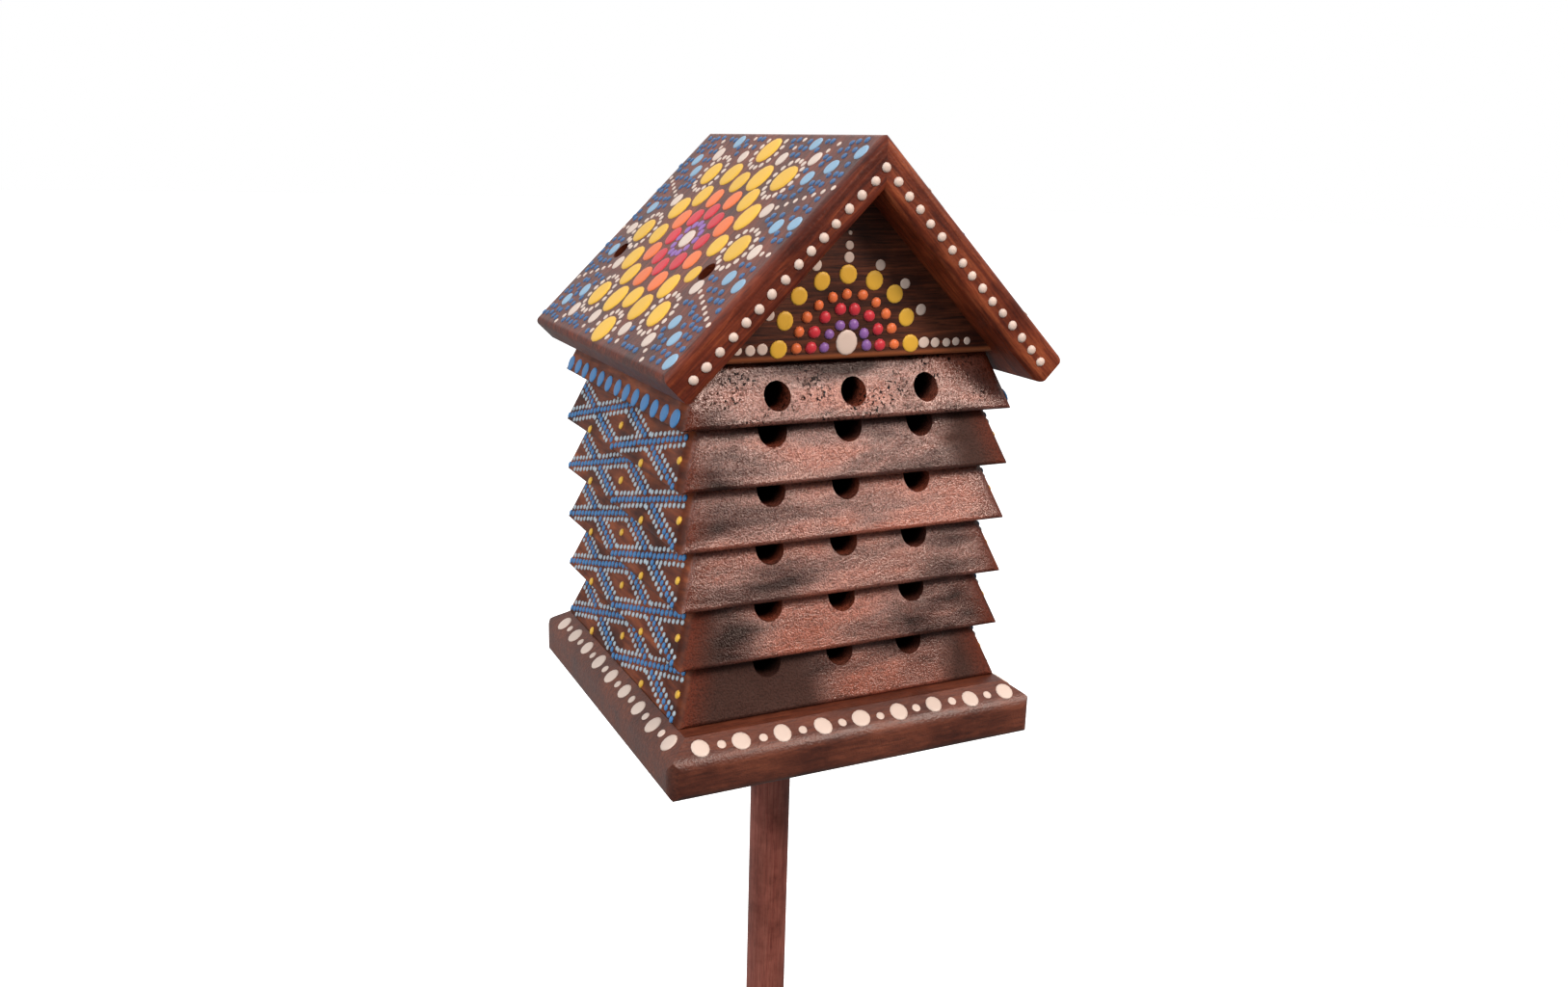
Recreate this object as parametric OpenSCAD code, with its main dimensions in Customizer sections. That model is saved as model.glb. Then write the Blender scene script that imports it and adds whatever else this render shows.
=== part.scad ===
// Bee hotel on a pole: a base board, six flared nesting trays, two gable boards
// and a pitched roof of two mitred boards. Millimetres, +Z up, the front faces -Y.
// The origin is the centre of the pole's foot, at ground level.

/* [Pole] */
// Diameter of the pole
pole_d = 15.7; // [12:0.1:22]
// Height of the base board's underside above the ground
pole_h = 300; // [150:5:1200]
// Width of the shoulder round the tenon at the top of the pole
tenon_shoulder = 2; // [1:0.25:3.5]
// Length of the tenon
tenon_len = 10; // [5:0.5:12]
// Play between the tenon and its socket, on the radius
socket_play = 0.1; // [0.05:0.05:0.5]
// Radius of the eased edge at the foot of the pole
foot_ease = 0.8; // [0.4:0.1:2]

/* [Base board] */
// Width of the base board
base_w = 141; // [132:1:180]
// Depth of the base board
base_d = 145; // [136:1:180]
// Thickness of the base board
base_t = 19; // [15:0.5:30]
// Width of the bevel round its upper face
base_bevel = 8; // [4:0.5:12]
// Height of the bevel
base_bevel_h = 5.5; // [2:0.5:8]
// Radius of the rounded edge between the bevel and the upright faces
base_arris = 6; // [0.5:0.5:8]
// Radius of the eased lower edges
base_ease = 3.5; // [0.5:0.5:4]
// Radius of its upright corners
base_corner = 4.5; // [2:0.5:12]

/* [Nesting trays] */
// Width of a tray at its bottom
tray_w = 127; // [116:0.2:130]
// Depth of a tray at its bottom
tray_d = 125.6; // [116:0.2:134]
// Height of a tray
tray_h = 20.1; // [17:0.1:26]
// How far each side leans in from the bottom of a tray to its top
tray_flare = 7.6; // [4:0.1:12]
// How far the stack of trays stands behind the middle of the base
stack_setback = 3.4; // [0:0.1:5]
// Radius of the eased lower edges of a tray
tray_nose = 1.3; // [0.5:0.1:2.5]
// Radius of the eased upper edges of a tray
tray_ease = 4; // [1:0.25:6]
// Radius of the sloping corners of a tray
tray_corner = 4.5; // [1:0.25:6]

/* [Bee holes] */
// Diameter of a drilled hole in the top tray
hole_d = 9.6; // [6:0.2:12]
// Distance from one hole to the next
hole_pitch = 28.1; // [18:0.1:32]
// Height of the drilled holes above the bottom of the top tray
hole_rise = 9.2; // [7:0.1:12]
// Width of a round-bottomed channel in the other trays
channel_w = 10.4; // [6:0.2:12]
// Depth of a channel below the top of its tray
channel_depth = 8.2; // [6.5:0.1:11]
// Wood left behind the holes, at the top of a tray
back_wall = 15; // [8:0.5:40]

/* [Gables] */
// Thickness of a gable board
gable_t = 30; // [24:0.5:36]
// How far a gable stands proud of the tray below it
gable_proud = 4; // [0:0.1:6]
// Radius of the eased lower edge on a gable's face
gable_ease = 1.6; // [0.5:0.1:4]

/* [Roof] */
// Slope of the roof, in degrees from level
roof_pitch = 45; // [38:0.5:50]
// Thickness of a roof board
roof_t = 12.5; // [8:0.5:16]
// Length of a roof board down the slope
roof_slope_len = 104; // [96:0.2:125]
// Length of the roof from front to back
roof_len = 142.6; // [134:0.2:170]
// How far the roof's middle stands in front of the middle of the base
roof_forward = 0.2; // [0:0.1:4]
// Gap between the roof boards and the upper edges of the top tray
roof_rest_gap = 0.15; // [0.1:0.05:0.6]
// Radius of the eased edges of a roof board
roof_ease = 2.6; // [0.5:0.1:4]
// Radius along the ridge
ridge_round = 2; // [0.5:0.1:4]

/* [Roof screw holes] */
// Distance of the screw holes from the ridge, down the slope
screw_down = 64; // [45:0.5:68]
// Distance of the front screw hole behind the face of the front gable
screw_front_in = 19.5; // [8:0.5:22]
// Distance of the back screw hole in front of the face of the back gable
screw_back_in = 13.5; // [8:0.5:22]
// Diameter of the counterbore that takes the screw's head
counterbore_d = 7.6; // [6:0.2:10]
// Depth of the counterbore
counterbore_deep = 6.5; // [3:0.5:7]
// Diameter of the clearance hole for the screw
screw_hole_d = 4; // [3:0.2:5]
// Diameter of the pilot hole in a gable
pilot_d = 2.8; // [2:0.2:3.5]
// Depth of the pilot hole
pilot_deep = 20; // [10:1:25]

/* [Hidden] */
$fn = 48;

tray_count = 6;
hole_columns = [-1, 0, 1];

// Cutting tools run past the faces that they open by this much
overcut = 5;

tenon_d = pole_d - 2 * tenon_shoulder;
socket_d = tenon_d + 2 * socket_play;

stack_z = pole_h + base_t;
stack_top = stack_z + tray_count * tray_h;
stack_y = stack_setback;

// Lean of a tray's sides, and the slope and wedge angle of its corner edges
tray_lean = atan(tray_flare / tray_h);
corner_lean = atan(sqrt(2) * tray_flare / tray_h);
corner_half = (180 - acos(pow(sin(tray_lean), 2))) / 2;
corner_run = tray_h / cos(corner_lean);

hole_end_y = tray_d / 2 - tray_flare - back_wall;

// The undersides of the roof boards lie on the rounded upper edges of the top tray, and
// meet the level of the stack's top this far from the middle
tray_edges = [tray_nose, tray_nose, tray_ease, tray_ease];
rest_centre_x = round_centre(flared(tray_w), tray_edges, 2)[0];
rest_reach = tray_ease * (1 - cos(roof_pitch)) + roof_rest_gap;
attic_half = rest_centre_x + rest_reach / sin(roof_pitch);
attic_h = attic_half * tan(roof_pitch);
ridge_z = stack_top + attic_h + roof_t / cos(roof_pitch);
roof_y = -roof_forward;

gable_front_y = stack_y - (tray_d / 2 - tray_flare + gable_proud);
gable_back_y = stack_y + (tray_d / 2 - tray_flare + gable_proud);
screw_front_y = gable_front_y + screw_front_in;
screw_back_y = gable_back_y - screw_back_in;

wood_dark = "#4a2a1e";
wood_red = "#6b3626";
wood_roof = "#5f3a30";
wood_pole = "#7d4433";

// Unit vector along v
function unit(v) = v / norm(v);

// Unit vectors from corner i of an outline towards its two neighbours
function to_last(p, i) = unit(p[(i + len(p) - 1) % len(p)] - p[i]);
function to_next(p, i) = unit(p[(i + 1) % len(p)] - p[i]);

// Half of the angle inside corner i
function half_angle(p, i) = acos(to_last(p, i) * to_next(p, i)) / 2;

// Where the rounding of corner i leaves the two edges, and its centre
function leave_last(p, r, i) = p[i] + to_last(p, i) * r[i] / tan(half_angle(p, i));
function leave_next(p, r, i) = p[i] + to_next(p, i) * r[i] / tan(half_angle(p, i));
function round_centre(p, r, i) =
    p[i] + unit(to_last(p, i) + to_next(p, i)) * r[i] / sin(half_angle(p, i));

// A convex outline with each corner rounded by its own radius
module rounded_outline(p, r) {
    corners = [0 : len(p) - 1];
    polygon([for (i = corners) each [leave_last(p, r, i), leave_next(p, r, i)]]);
    for (i = corners)
        if (r[i] > 0)
            translate(round_centre(p, r, i))
                circle(r = r[i]);
}

// An X-Z outline carried along Y, and a Y-Z outline carried along X
module run_along_y(length) rotate([90, 0, 0]) linear_extrude(length, center = true) children();
module run_along_x(length) rotate([90, 0, 90]) linear_extrude(length, center = true) children();

// Six corners of the base board's section, w wide
function bevelled(w) = [
    [-w / 2, 0], [w / 2, 0], [w / 2, base_t - base_bevel_h],
    [w / 2 - base_bevel, base_t], [base_bevel - w / 2, base_t], [-w / 2, base_t - base_bevel_h]
];

// Four corners of a rectangle, w wide about the middle and h high
function upright(w, h) = [[-w / 2, 0], [w / 2, 0], [w / 2, h], [-w / 2, h]];

// Four corners of a tray's section, w wide at the bottom
function flared(w) = [
    [-w / 2, 0], [w / 2, 0], [w / 2 - tray_flare, tray_h], [tray_flare - w / 2, tray_h]
];

// The round pole, with a shouldered tenon at the top and an eased foot
module pole() {
    color(wood_pole)
        rotate_extrude()
            polygon([
                [0, 0], [pole_d / 2 - foot_ease, 0], [pole_d / 2, foot_ease],
                [pole_d / 2, pole_h], [tenon_d / 2, pole_h],
                [tenon_d / 2, pole_h + tenon_len], [0, pole_h + tenon_len]
            ]);
}

// The base board: bevelled on top, eased below, with a socket for the tenon
module base_board() {
    edges = [base_ease, base_ease, base_arris, 0, 0, base_arris];
    plan = [
        [-base_w / 2, -base_d / 2], [base_w / 2, -base_d / 2],
        [base_w / 2, base_d / 2], [-base_w / 2, base_d / 2]
    ];
    color(wood_red)
        translate([0, 0, pole_h])
            difference() {
                intersection() {
                    run_along_y(base_d) rounded_outline(bevelled(base_w), edges);
                    run_along_x(base_w) rounded_outline(bevelled(base_d), edges);
                    linear_extrude(base_t) rounded_outline(plan, [for (i = plan) base_corner]);
                }
                translate([0, 0, -overcut])
                    cylinder(d = socket_d, h = tenon_len + overcut);
            }
}

// The same point on the other side of the X axis
function flipped(p) = [p[0], -p[1]];

// What the rounding takes off one sloping corner of a tray, along the corner's edge
module corner_waste() {
    centre = [-tray_corner / sin(corner_half), 0];
    touch = [-cos(corner_half), sin(corner_half)] * tray_corner / tan(corner_half);
    lip = touch + [sin(corner_half), cos(corner_half)] * tray_corner;
    tip = [2 * tray_corner, 0];
    rotate([0, -corner_lean, 45])
        translate([0, 0, -corner_run])
            linear_extrude(3 * corner_run)
                difference() {
                    polygon([centre, touch, lip, tip, flipped(lip), flipped(touch)]);
                    translate(centre) circle(r = tray_corner);
                }
}

// A solid tray, its middle at the origin, flared outwards to the bottom on all sides
module tray_blank() {
    difference() {
        intersection() {
            run_along_y(tray_d) rounded_outline(flared(tray_w), tray_edges);
            run_along_x(tray_w) rounded_outline(flared(tray_d), tray_edges);
        }
        for (sx = [0, 1])
            for (sy = [0, 1])
                mirror([sx, 0, 0])
                    mirror([0, sy, 0])
                        translate([tray_w / 2, tray_d / 2, 0])
                            corner_waste();
    }
}

// A drilled blind hole, open to the front
module drilled_hole() {
    mouth = -tray_d / 2 - overcut;
    translate([0, mouth, hole_rise])
        rotate([-90, 0, 0])
            cylinder(d = hole_d, h = hole_end_y - mouth);
}

// A round-bottomed channel, open to the front and to the top, with a round end
module channel() {
    mouth = -tray_d / 2 - overcut;
    axis_z = tray_h - channel_depth + channel_w / 2;
    ball_y = hole_end_y - channel_w / 2;
    wall_h = tray_h + overcut - axis_z;
    translate([0, mouth, axis_z])
        rotate([-90, 0, 0])
            cylinder(d = channel_w, h = ball_y - mouth);
    translate([-channel_w / 2, mouth, axis_z])
        cube([channel_w, ball_y - mouth, wall_h]);
    translate([0, ball_y, axis_z]) {
        sphere(d = channel_w);
        cylinder(d = channel_w, h = wall_h);
    }
}

// Tray i of the stack, counted from the top. The top one is drilled, and the others
// have channels that the tray above closes
module nesting_tray(i) {
    color(i % 2 == 0 ? wood_dark : wood_red)
        translate([0, stack_y, stack_top - i * tray_h])
            difference() {
                tray_blank();
                for (c = hole_columns)
                    translate([c * hole_pitch, 0, 0])
                        if (i == 1) drilled_hole(); else channel();
            }
}

module tray_1() nesting_tray(1);
module tray_2() nesting_tray(2);
module tray_3() nesting_tray(3);
module tray_4() nesting_tray(4);
module tray_5() nesting_tray(5);
module tray_6() nesting_tray(6);

// A tool square to the roof's right slope, at the screw holes' place, pointing in
module at_screw(y) {
    translate([0, y, ridge_z])
        rotate([0, roof_pitch, 0])
            translate([screw_down, 0, 0])
                mirror([0, 0, 1])
                    children();
}

// The same tool on both slopes
module at_both_screws(y) {
    at_screw(y) children();
    mirror([1, 0, 0]) at_screw(y) children();
}

// A triangular gable board with its outer face at y = 0, facing -Y
module gable(screw_in) {
    color(wood_dark)
        difference() {
            intersection() {
                translate([0, gable_t / 2, stack_top])
                    run_along_y(gable_t)
                        polygon([[-attic_half, 0], [attic_half, 0], [0, attic_h]]);
                translate([0, gable_t / 2, stack_top])
                    run_along_x(2 * attic_half)
                        rounded_outline(upright(gable_t, attic_h), [gable_ease, 0, 0, 0]);
            }
            at_both_screws(screw_in)
                cylinder(d = pilot_d, h = roof_t + pilot_deep);
        }
}

module gable_front() translate([0, gable_front_y, 0]) gable(screw_front_in);
module gable_back() translate([0, gable_back_y, 0]) mirror([0, 1, 0]) gable(screw_back_in);

// Section of a roof board from the ridge down the slope, its outer face at height 0
module slope_section() {
    mitre = roof_t * tan(roof_pitch);
    ridge_run = ridge_round * tan(roof_pitch);
    difference() {
        rounded_outline(
            [[0, 0], [mitre, -roof_t], [roof_slope_len, -roof_t], [roof_slope_len, 0]],
            [0, 0, roof_ease, roof_ease]
        );
        difference() {
            translate([ridge_run - 2 * ridge_round, -ridge_round])
                square([2 * ridge_round, 2 * ridge_round]);
            translate([ridge_run, -ridge_round])
                circle(r = ridge_round);
        }
    }
}

// The right-hand roof board, mitred at the ridge and counterbored for its screws
module roof_board() {
    difference() {
        intersection() {
            translate([0, roof_y, ridge_z])
                run_along_y(roof_len)
                    rotate(-roof_pitch)
                        slope_section();
            translate([0, roof_y, ridge_z])
                rotate([0, roof_pitch, 0])
                    translate([0, 0, -roof_t])
                        run_along_x(2 * roof_slope_len + overcut)
                            rounded_outline(upright(roof_len, roof_t), [for (i = [0 : 3]) roof_ease]);
        }
        for (y = [screw_front_y, screw_back_y])
            at_screw(y) {
                translate([0, 0, -overcut])
                    cylinder(d = counterbore_d, h = overcut + counterbore_deep);
                cylinder(d = screw_hole_d, h = roof_t + overcut);
            }
    }
}

module roof_right() color(wood_roof) roof_board();
module roof_left() color(wood_roof) mirror([1, 0, 0]) roof_board();

pole();
base_board();
tray_1();
tray_2();
tray_3();
tray_4();
tray_5();
tray_6();
gable_front();
gable_back();
roof_left();
roof_right();
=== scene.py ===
"""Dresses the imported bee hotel: wood finishes, dots of paint, roof screws, studio and camera.

The frame gives every wooden piece and its place. Sizes here are millimetres unless a name says otherwise,
and MM turns them into Blender's metres.
"""

import logging
import math
from dataclasses import dataclass, field, replace
from enum import Enum
from typing import Any, Sequence

import bpy
import numpy as np
from mathutils import Matrix, Vector


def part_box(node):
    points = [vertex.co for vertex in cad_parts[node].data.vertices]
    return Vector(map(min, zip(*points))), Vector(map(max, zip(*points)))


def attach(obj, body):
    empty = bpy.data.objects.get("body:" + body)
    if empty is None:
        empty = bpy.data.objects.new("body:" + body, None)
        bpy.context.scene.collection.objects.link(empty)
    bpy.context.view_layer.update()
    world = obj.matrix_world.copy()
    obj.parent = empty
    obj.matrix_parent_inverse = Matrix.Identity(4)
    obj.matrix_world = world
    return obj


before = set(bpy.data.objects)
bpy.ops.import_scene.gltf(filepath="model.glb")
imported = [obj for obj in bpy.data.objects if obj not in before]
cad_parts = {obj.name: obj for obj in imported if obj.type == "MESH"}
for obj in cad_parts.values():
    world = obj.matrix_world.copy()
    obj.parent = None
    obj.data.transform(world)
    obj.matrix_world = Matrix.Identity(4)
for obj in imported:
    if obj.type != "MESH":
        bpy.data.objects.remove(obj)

MM = 0.001
BODY = "root"
PHOTO_WIDTH, PHOTO_HEIGHT = 1627, 1024
WHITE = "#FFFFFF"

# Turns in degrees from a main ray of the roof's rosette: to a lesser ray, and halfway to it.
LESSER_RAY = 360 / 16
BETWEEN_RAYS = LESSER_RAY / 2

# Settings that several shader nodes share.
BLEND = {"data_type": "RGBA"}
MULTIPLY = {"data_type": "RGBA", "blend_type": "MULTIPLY"}
SMOOTH = {"interpolation_type": "SMOOTHSTEP"}

log = logging.getLogger("bee_hotel")

Array = np.ndarray
Colour = tuple[float, float, float, float]
Place = tuple[float, float]
Tree = bpy.types.NodeTree
Socket = bpy.types.NodeSocket
Material = bpy.types.Material


def linear(hex_colour: str) -> Colour:
    """Turns an sRGB hex colour into linear light.

    Args:
        hex_colour: a colour such as "#7A3B22".

    Returns:
        Red, green, blue and an alpha of one.
    """
    channels = [int(hex_colour[i:i + 2], 16) / 255 for i in (1, 3, 5)]
    lit = [c / 12.92 if c <= 0.04045 else ((c + 0.055) / 1.055) ** 2.4 for c in channels]
    return (lit[0], lit[1], lit[2], 1.0)


def fill(node: bpy.types.Node, inputs: dict[str | int, Any]) -> None:
    """Gives a node's inputs their values, or links them to other nodes' outputs.

    Args:
        node: the node.
        inputs: a value or an output socket for each input, by the name or the number of the input.
    """
    for key, value in inputs.items():
        named = [socket for socket in node.inputs if socket.enabled and socket.name == key]
        target = named[0] if named else node.inputs[key]
        if isinstance(value, Socket):
            node.id_data.links.new(value, target)
        else:
            target.default_value = value


def add_node(tree: Tree, kind: str, inputs: dict[str | int, Any] | None = None,
             stops: Sequence[tuple[float, str]] = (), **settings: Any) -> Socket:
    """Adds one shader node with its settings, its values and its links.

    Args:
        tree: the node tree that gets the node.
        kind: the node's type without its first words, such as "TexNoise".
        inputs: a value or an output socket for each input, by the name or the number of the input.
        stops: the places and hex colours of a colour ramp.
        settings: the node's own properties.

    Returns:
        The first of the new node's outputs that is in use.
    """
    node = tree.nodes.new(f"ShaderNode{kind}")
    for name, value in settings.items():
        setattr(node, name, value)
    fill(node, inputs or {})
    if stops:
        elements = node.color_ramp.elements
        for _ in stops[2:]:
            elements.new(0.5)
        for element, (place, colour) in zip(elements, stops):
            element.position = place
            element.color = linear(colour)
    return next(socket for socket in node.outputs if socket.enabled)


def new_material(name: str) -> tuple[Material, Tree, bpy.types.Node]:
    """Starts a material on nodes.

    Args:
        name: the material's name.

    Returns:
        The material, its node tree and the tree's Principled shader.
    """
    material = bpy.data.materials.new(name)
    material.use_nodes = True
    return material, material.node_tree, material.node_tree.nodes["Principled BSDF"]


def clouds(tree: Tree, place: Socket, cell: Sequence[float], tilt: float = 0.0, **look: float) -> Socket:
    """Adds a soft random pattern of cells with a real size.

    Args:
        tree: the node tree that gets the pattern.
        place: the coordinates it lies on.
        cell: a cell's length along the three axes, in millimetres.
        tilt: how far the pattern's X axis is turned up about Y, in degrees.
        look: the noise's Detail, Roughness or Distortion.

    Returns:
        The pattern's strength, mostly between 0.3 and 0.7.
    """
    turn = (0.0, -math.radians(tilt), 0.0)
    laid = add_node(tree, "Mapping", {"Vector": place, "Rotation": turn, "Scale": [MM * c for c in cell]},
                    vector_type="TEXTURE")
    return add_node(tree, "TexNoise", {"Vector": laid, "Scale": 1.0, **look})


def add_piece(name: str, points: Array, faces: list[list[int]], material: Material) -> bpy.types.Object:
    """Puts a surface into the scene, with its object at the origin.

    Args:
        name: the piece's name.
        points: the surface's points in metres.
        faces: the numbers of each face's points.
        material: its finish.

    Returns:
        The new object.
    """
    mesh = bpy.data.meshes.new(name)
    mesh.from_pydata(points.reshape(-1, 3).tolist(), [], faces)
    mesh.materials.append(material)
    piece = bpy.data.objects.new(name, mesh)
    bpy.context.scene.collection.objects.link(piece)
    return piece


def bands(rings: int, sides: int) -> Array:
    """Gives the quads between rings of points that are numbered ring by ring.

    Args:
        rings: how many rings there are.
        sides: how many points a ring has.

    Returns:
        Each quad's four points: one, the next on its ring, and the two beyond them on the following ring.
    """
    start = sides * np.arange(rings - 1)[:, None]
    here = start + np.arange(sides)
    beside = start + np.roll(np.arange(sides), -1)
    return np.stack((here, beside, beside + sides, here + sides), axis=-1).reshape(-1, 4)


def outward(quads: Array) -> Array:
    """Turns the quads of rings that widen, so that they face up."""
    return quads[:, (0, 3, 2, 1)]


class Side(Enum):
    """The house's left and right sides, by the sign of X."""

    LEFT = -1
    RIGHT = 1


class End(Enum):
    """The house's two ends, by the sign of Y."""

    FRONT = -1
    BACK = 1


class Grain(Enum):
    """The direction in which a piece's grain runs: the axis, and its tilt about Y in degrees."""

    ALONG_X = (0, 0.0)
    ALONG_Z = (2, 0.0)
    DOWN_LEFT_SLOPE = (0, 45.0)
    DOWN_RIGHT_SLOPE = (0, -45.0)


@dataclass(frozen=True)
class VarnishedHardwood:
    """Tropical hardwood, planed, stained red-brown and brushed with a thin satin varnish.

    The eye gets long fine streaks along the grain, darker pores, a slow change of tone over a board and
    the small pebbles of brushed varnish in the gloss. Where rain falls on it, the varnish also has a pale
    haze at a slant, and a board's foot can get a lighter tone: a painted highlight where its rounded lower
    edge catches the light.
    """

    name: str
    grain: Grain
    dark: str
    middle: str
    light: str
    streak: float = 1.5
    streak_stretch: float = 16.0
    pores_per_streak: float = 3.2
    pore_share: float = 0.45
    pore_tone: str = "#8C8480"
    pore_depth: float = 0.05
    mottle: float = 22.0
    mottle_tone: str = "#A89690"
    pebble: float = 0.9
    pebble_height: float = 0.10
    roughness: float = 0.42
    roughness_spread: tuple[float, float] = (-0.06, 0.08)
    gloss: float = 0.3
    haze: float = 0.0
    rain_slope: tuple[float, float] = (0.35, 0.65)
    foot_highlight_below: float = 0.0
    foot_highlight_fade: float = 1.0
    foot_highlight_tone: str = "#93522E"

    def material(self) -> Material:
        """Builds the finish.

        Returns:
            The material, on Object coordinates.
        """
        material, tree, shader = new_material(self.name)
        coordinates = add_node(tree, "TexCoord").node.outputs
        place = coordinates["Object"]
        axis, tilt = self.grain.value
        cell = [self.streak] * 3
        cell[axis] *= self.streak_stretch
        streaks = clouds(tree, place, cell, tilt, Detail=6.0, Roughness=0.6, Distortion=0.35)
        pores = clouds(tree, place, [size / self.pores_per_streak for size in cell], tilt, Detail=2.0)
        mottle = clouds(tree, place, [self.mottle] * 3, Detail=5.0, Roughness=0.62)
        pebbles = clouds(tree, place, [self.pebble] * 3, Detail=1.5)

        wood = add_node(tree, "ValToRGB", {"Fac": streaks},
                        ((0.30, self.dark), (0.50, self.middle), (0.72, self.light)))
        pore_shade = add_node(tree, "ValToRGB", {"Fac": pores}, ((0.34, self.pore_tone), (0.46, WHITE)))
        pored = add_node(tree, "Mix", {"Factor": self.pore_share, "A": wood, "B": pore_shade}, **MULTIPLY)
        shade = add_node(tree, "ValToRGB", {"Fac": mottle}, ((0.32, self.mottle_tone), (0.58, WHITE)))
        toned = add_node(tree, "Mix", {"Factor": 1.0, "A": pored, "B": shade}, **MULTIPLY)
        height = add_node(tree, "SeparateXYZ", {"Vector": place}).node.outputs["Z"]
        # Painted highlight: the colour turns to a lighter tone towards a board's foot, where the rounded
        # lower edge catches the light.
        foot_highlight = add_node(tree, "MapRange",
                        {"Value": height, "From Min": self.foot_highlight_below * MM,
                         "From Max": (self.foot_highlight_below - self.foot_highlight_fade) * MM})
        colour = add_node(tree, "Mix", {"Factor": foot_highlight, "A": toned, "B": linear(self.foot_highlight_tone)}, **BLEND)

        upward = add_node(tree, "SeparateXYZ", {"Vector": coordinates["Normal"]}).node.outputs["Z"]
        hazed = add_node(tree, "MapRange", {"Value": upward, "From Min": self.rain_slope[0],
                                            "From Max": self.rain_slope[1], "To Max": self.haze})
        rough = add_node(tree, "MapRange",
                         {"Value": mottle, "From Min": 0.3, "From Max": 0.7,
                          "To Min": self.roughness + self.roughness_spread[0],
                          "To Max": self.roughness + self.roughness_spread[1]})
        pored_bump = add_node(tree, "Bump",
                              {"Strength": 0.6, "Distance": self.pore_depth * MM, "Height": pores})
        bump = add_node(tree, "Bump", {"Strength": 1.0, "Distance": self.pebble_height * MM,
                                       "Height": pebbles, "Normal": pored_bump})
        fill(shader, {"Base Color": colour, "Sheen Weight": hazed, "Roughness": rough, "Normal": bump,
                      "Specular IOR Level": self.gloss})
        return material


@dataclass(frozen=True)
class TrayLook:
    """What sets one tray's scorching apart from the others'.

    The shift moves its patterns, char darkens its ends, sheen is their gloss and specks the share of black
    specks. Its ends are free of the dark tone, partly soot and partly painted shade, round bare_middle, for
    bare_half to each side.
    """

    shift: float
    char: float
    sheen: float
    bare_middle: float
    bare_half: float
    specks: float = 0.3


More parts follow.
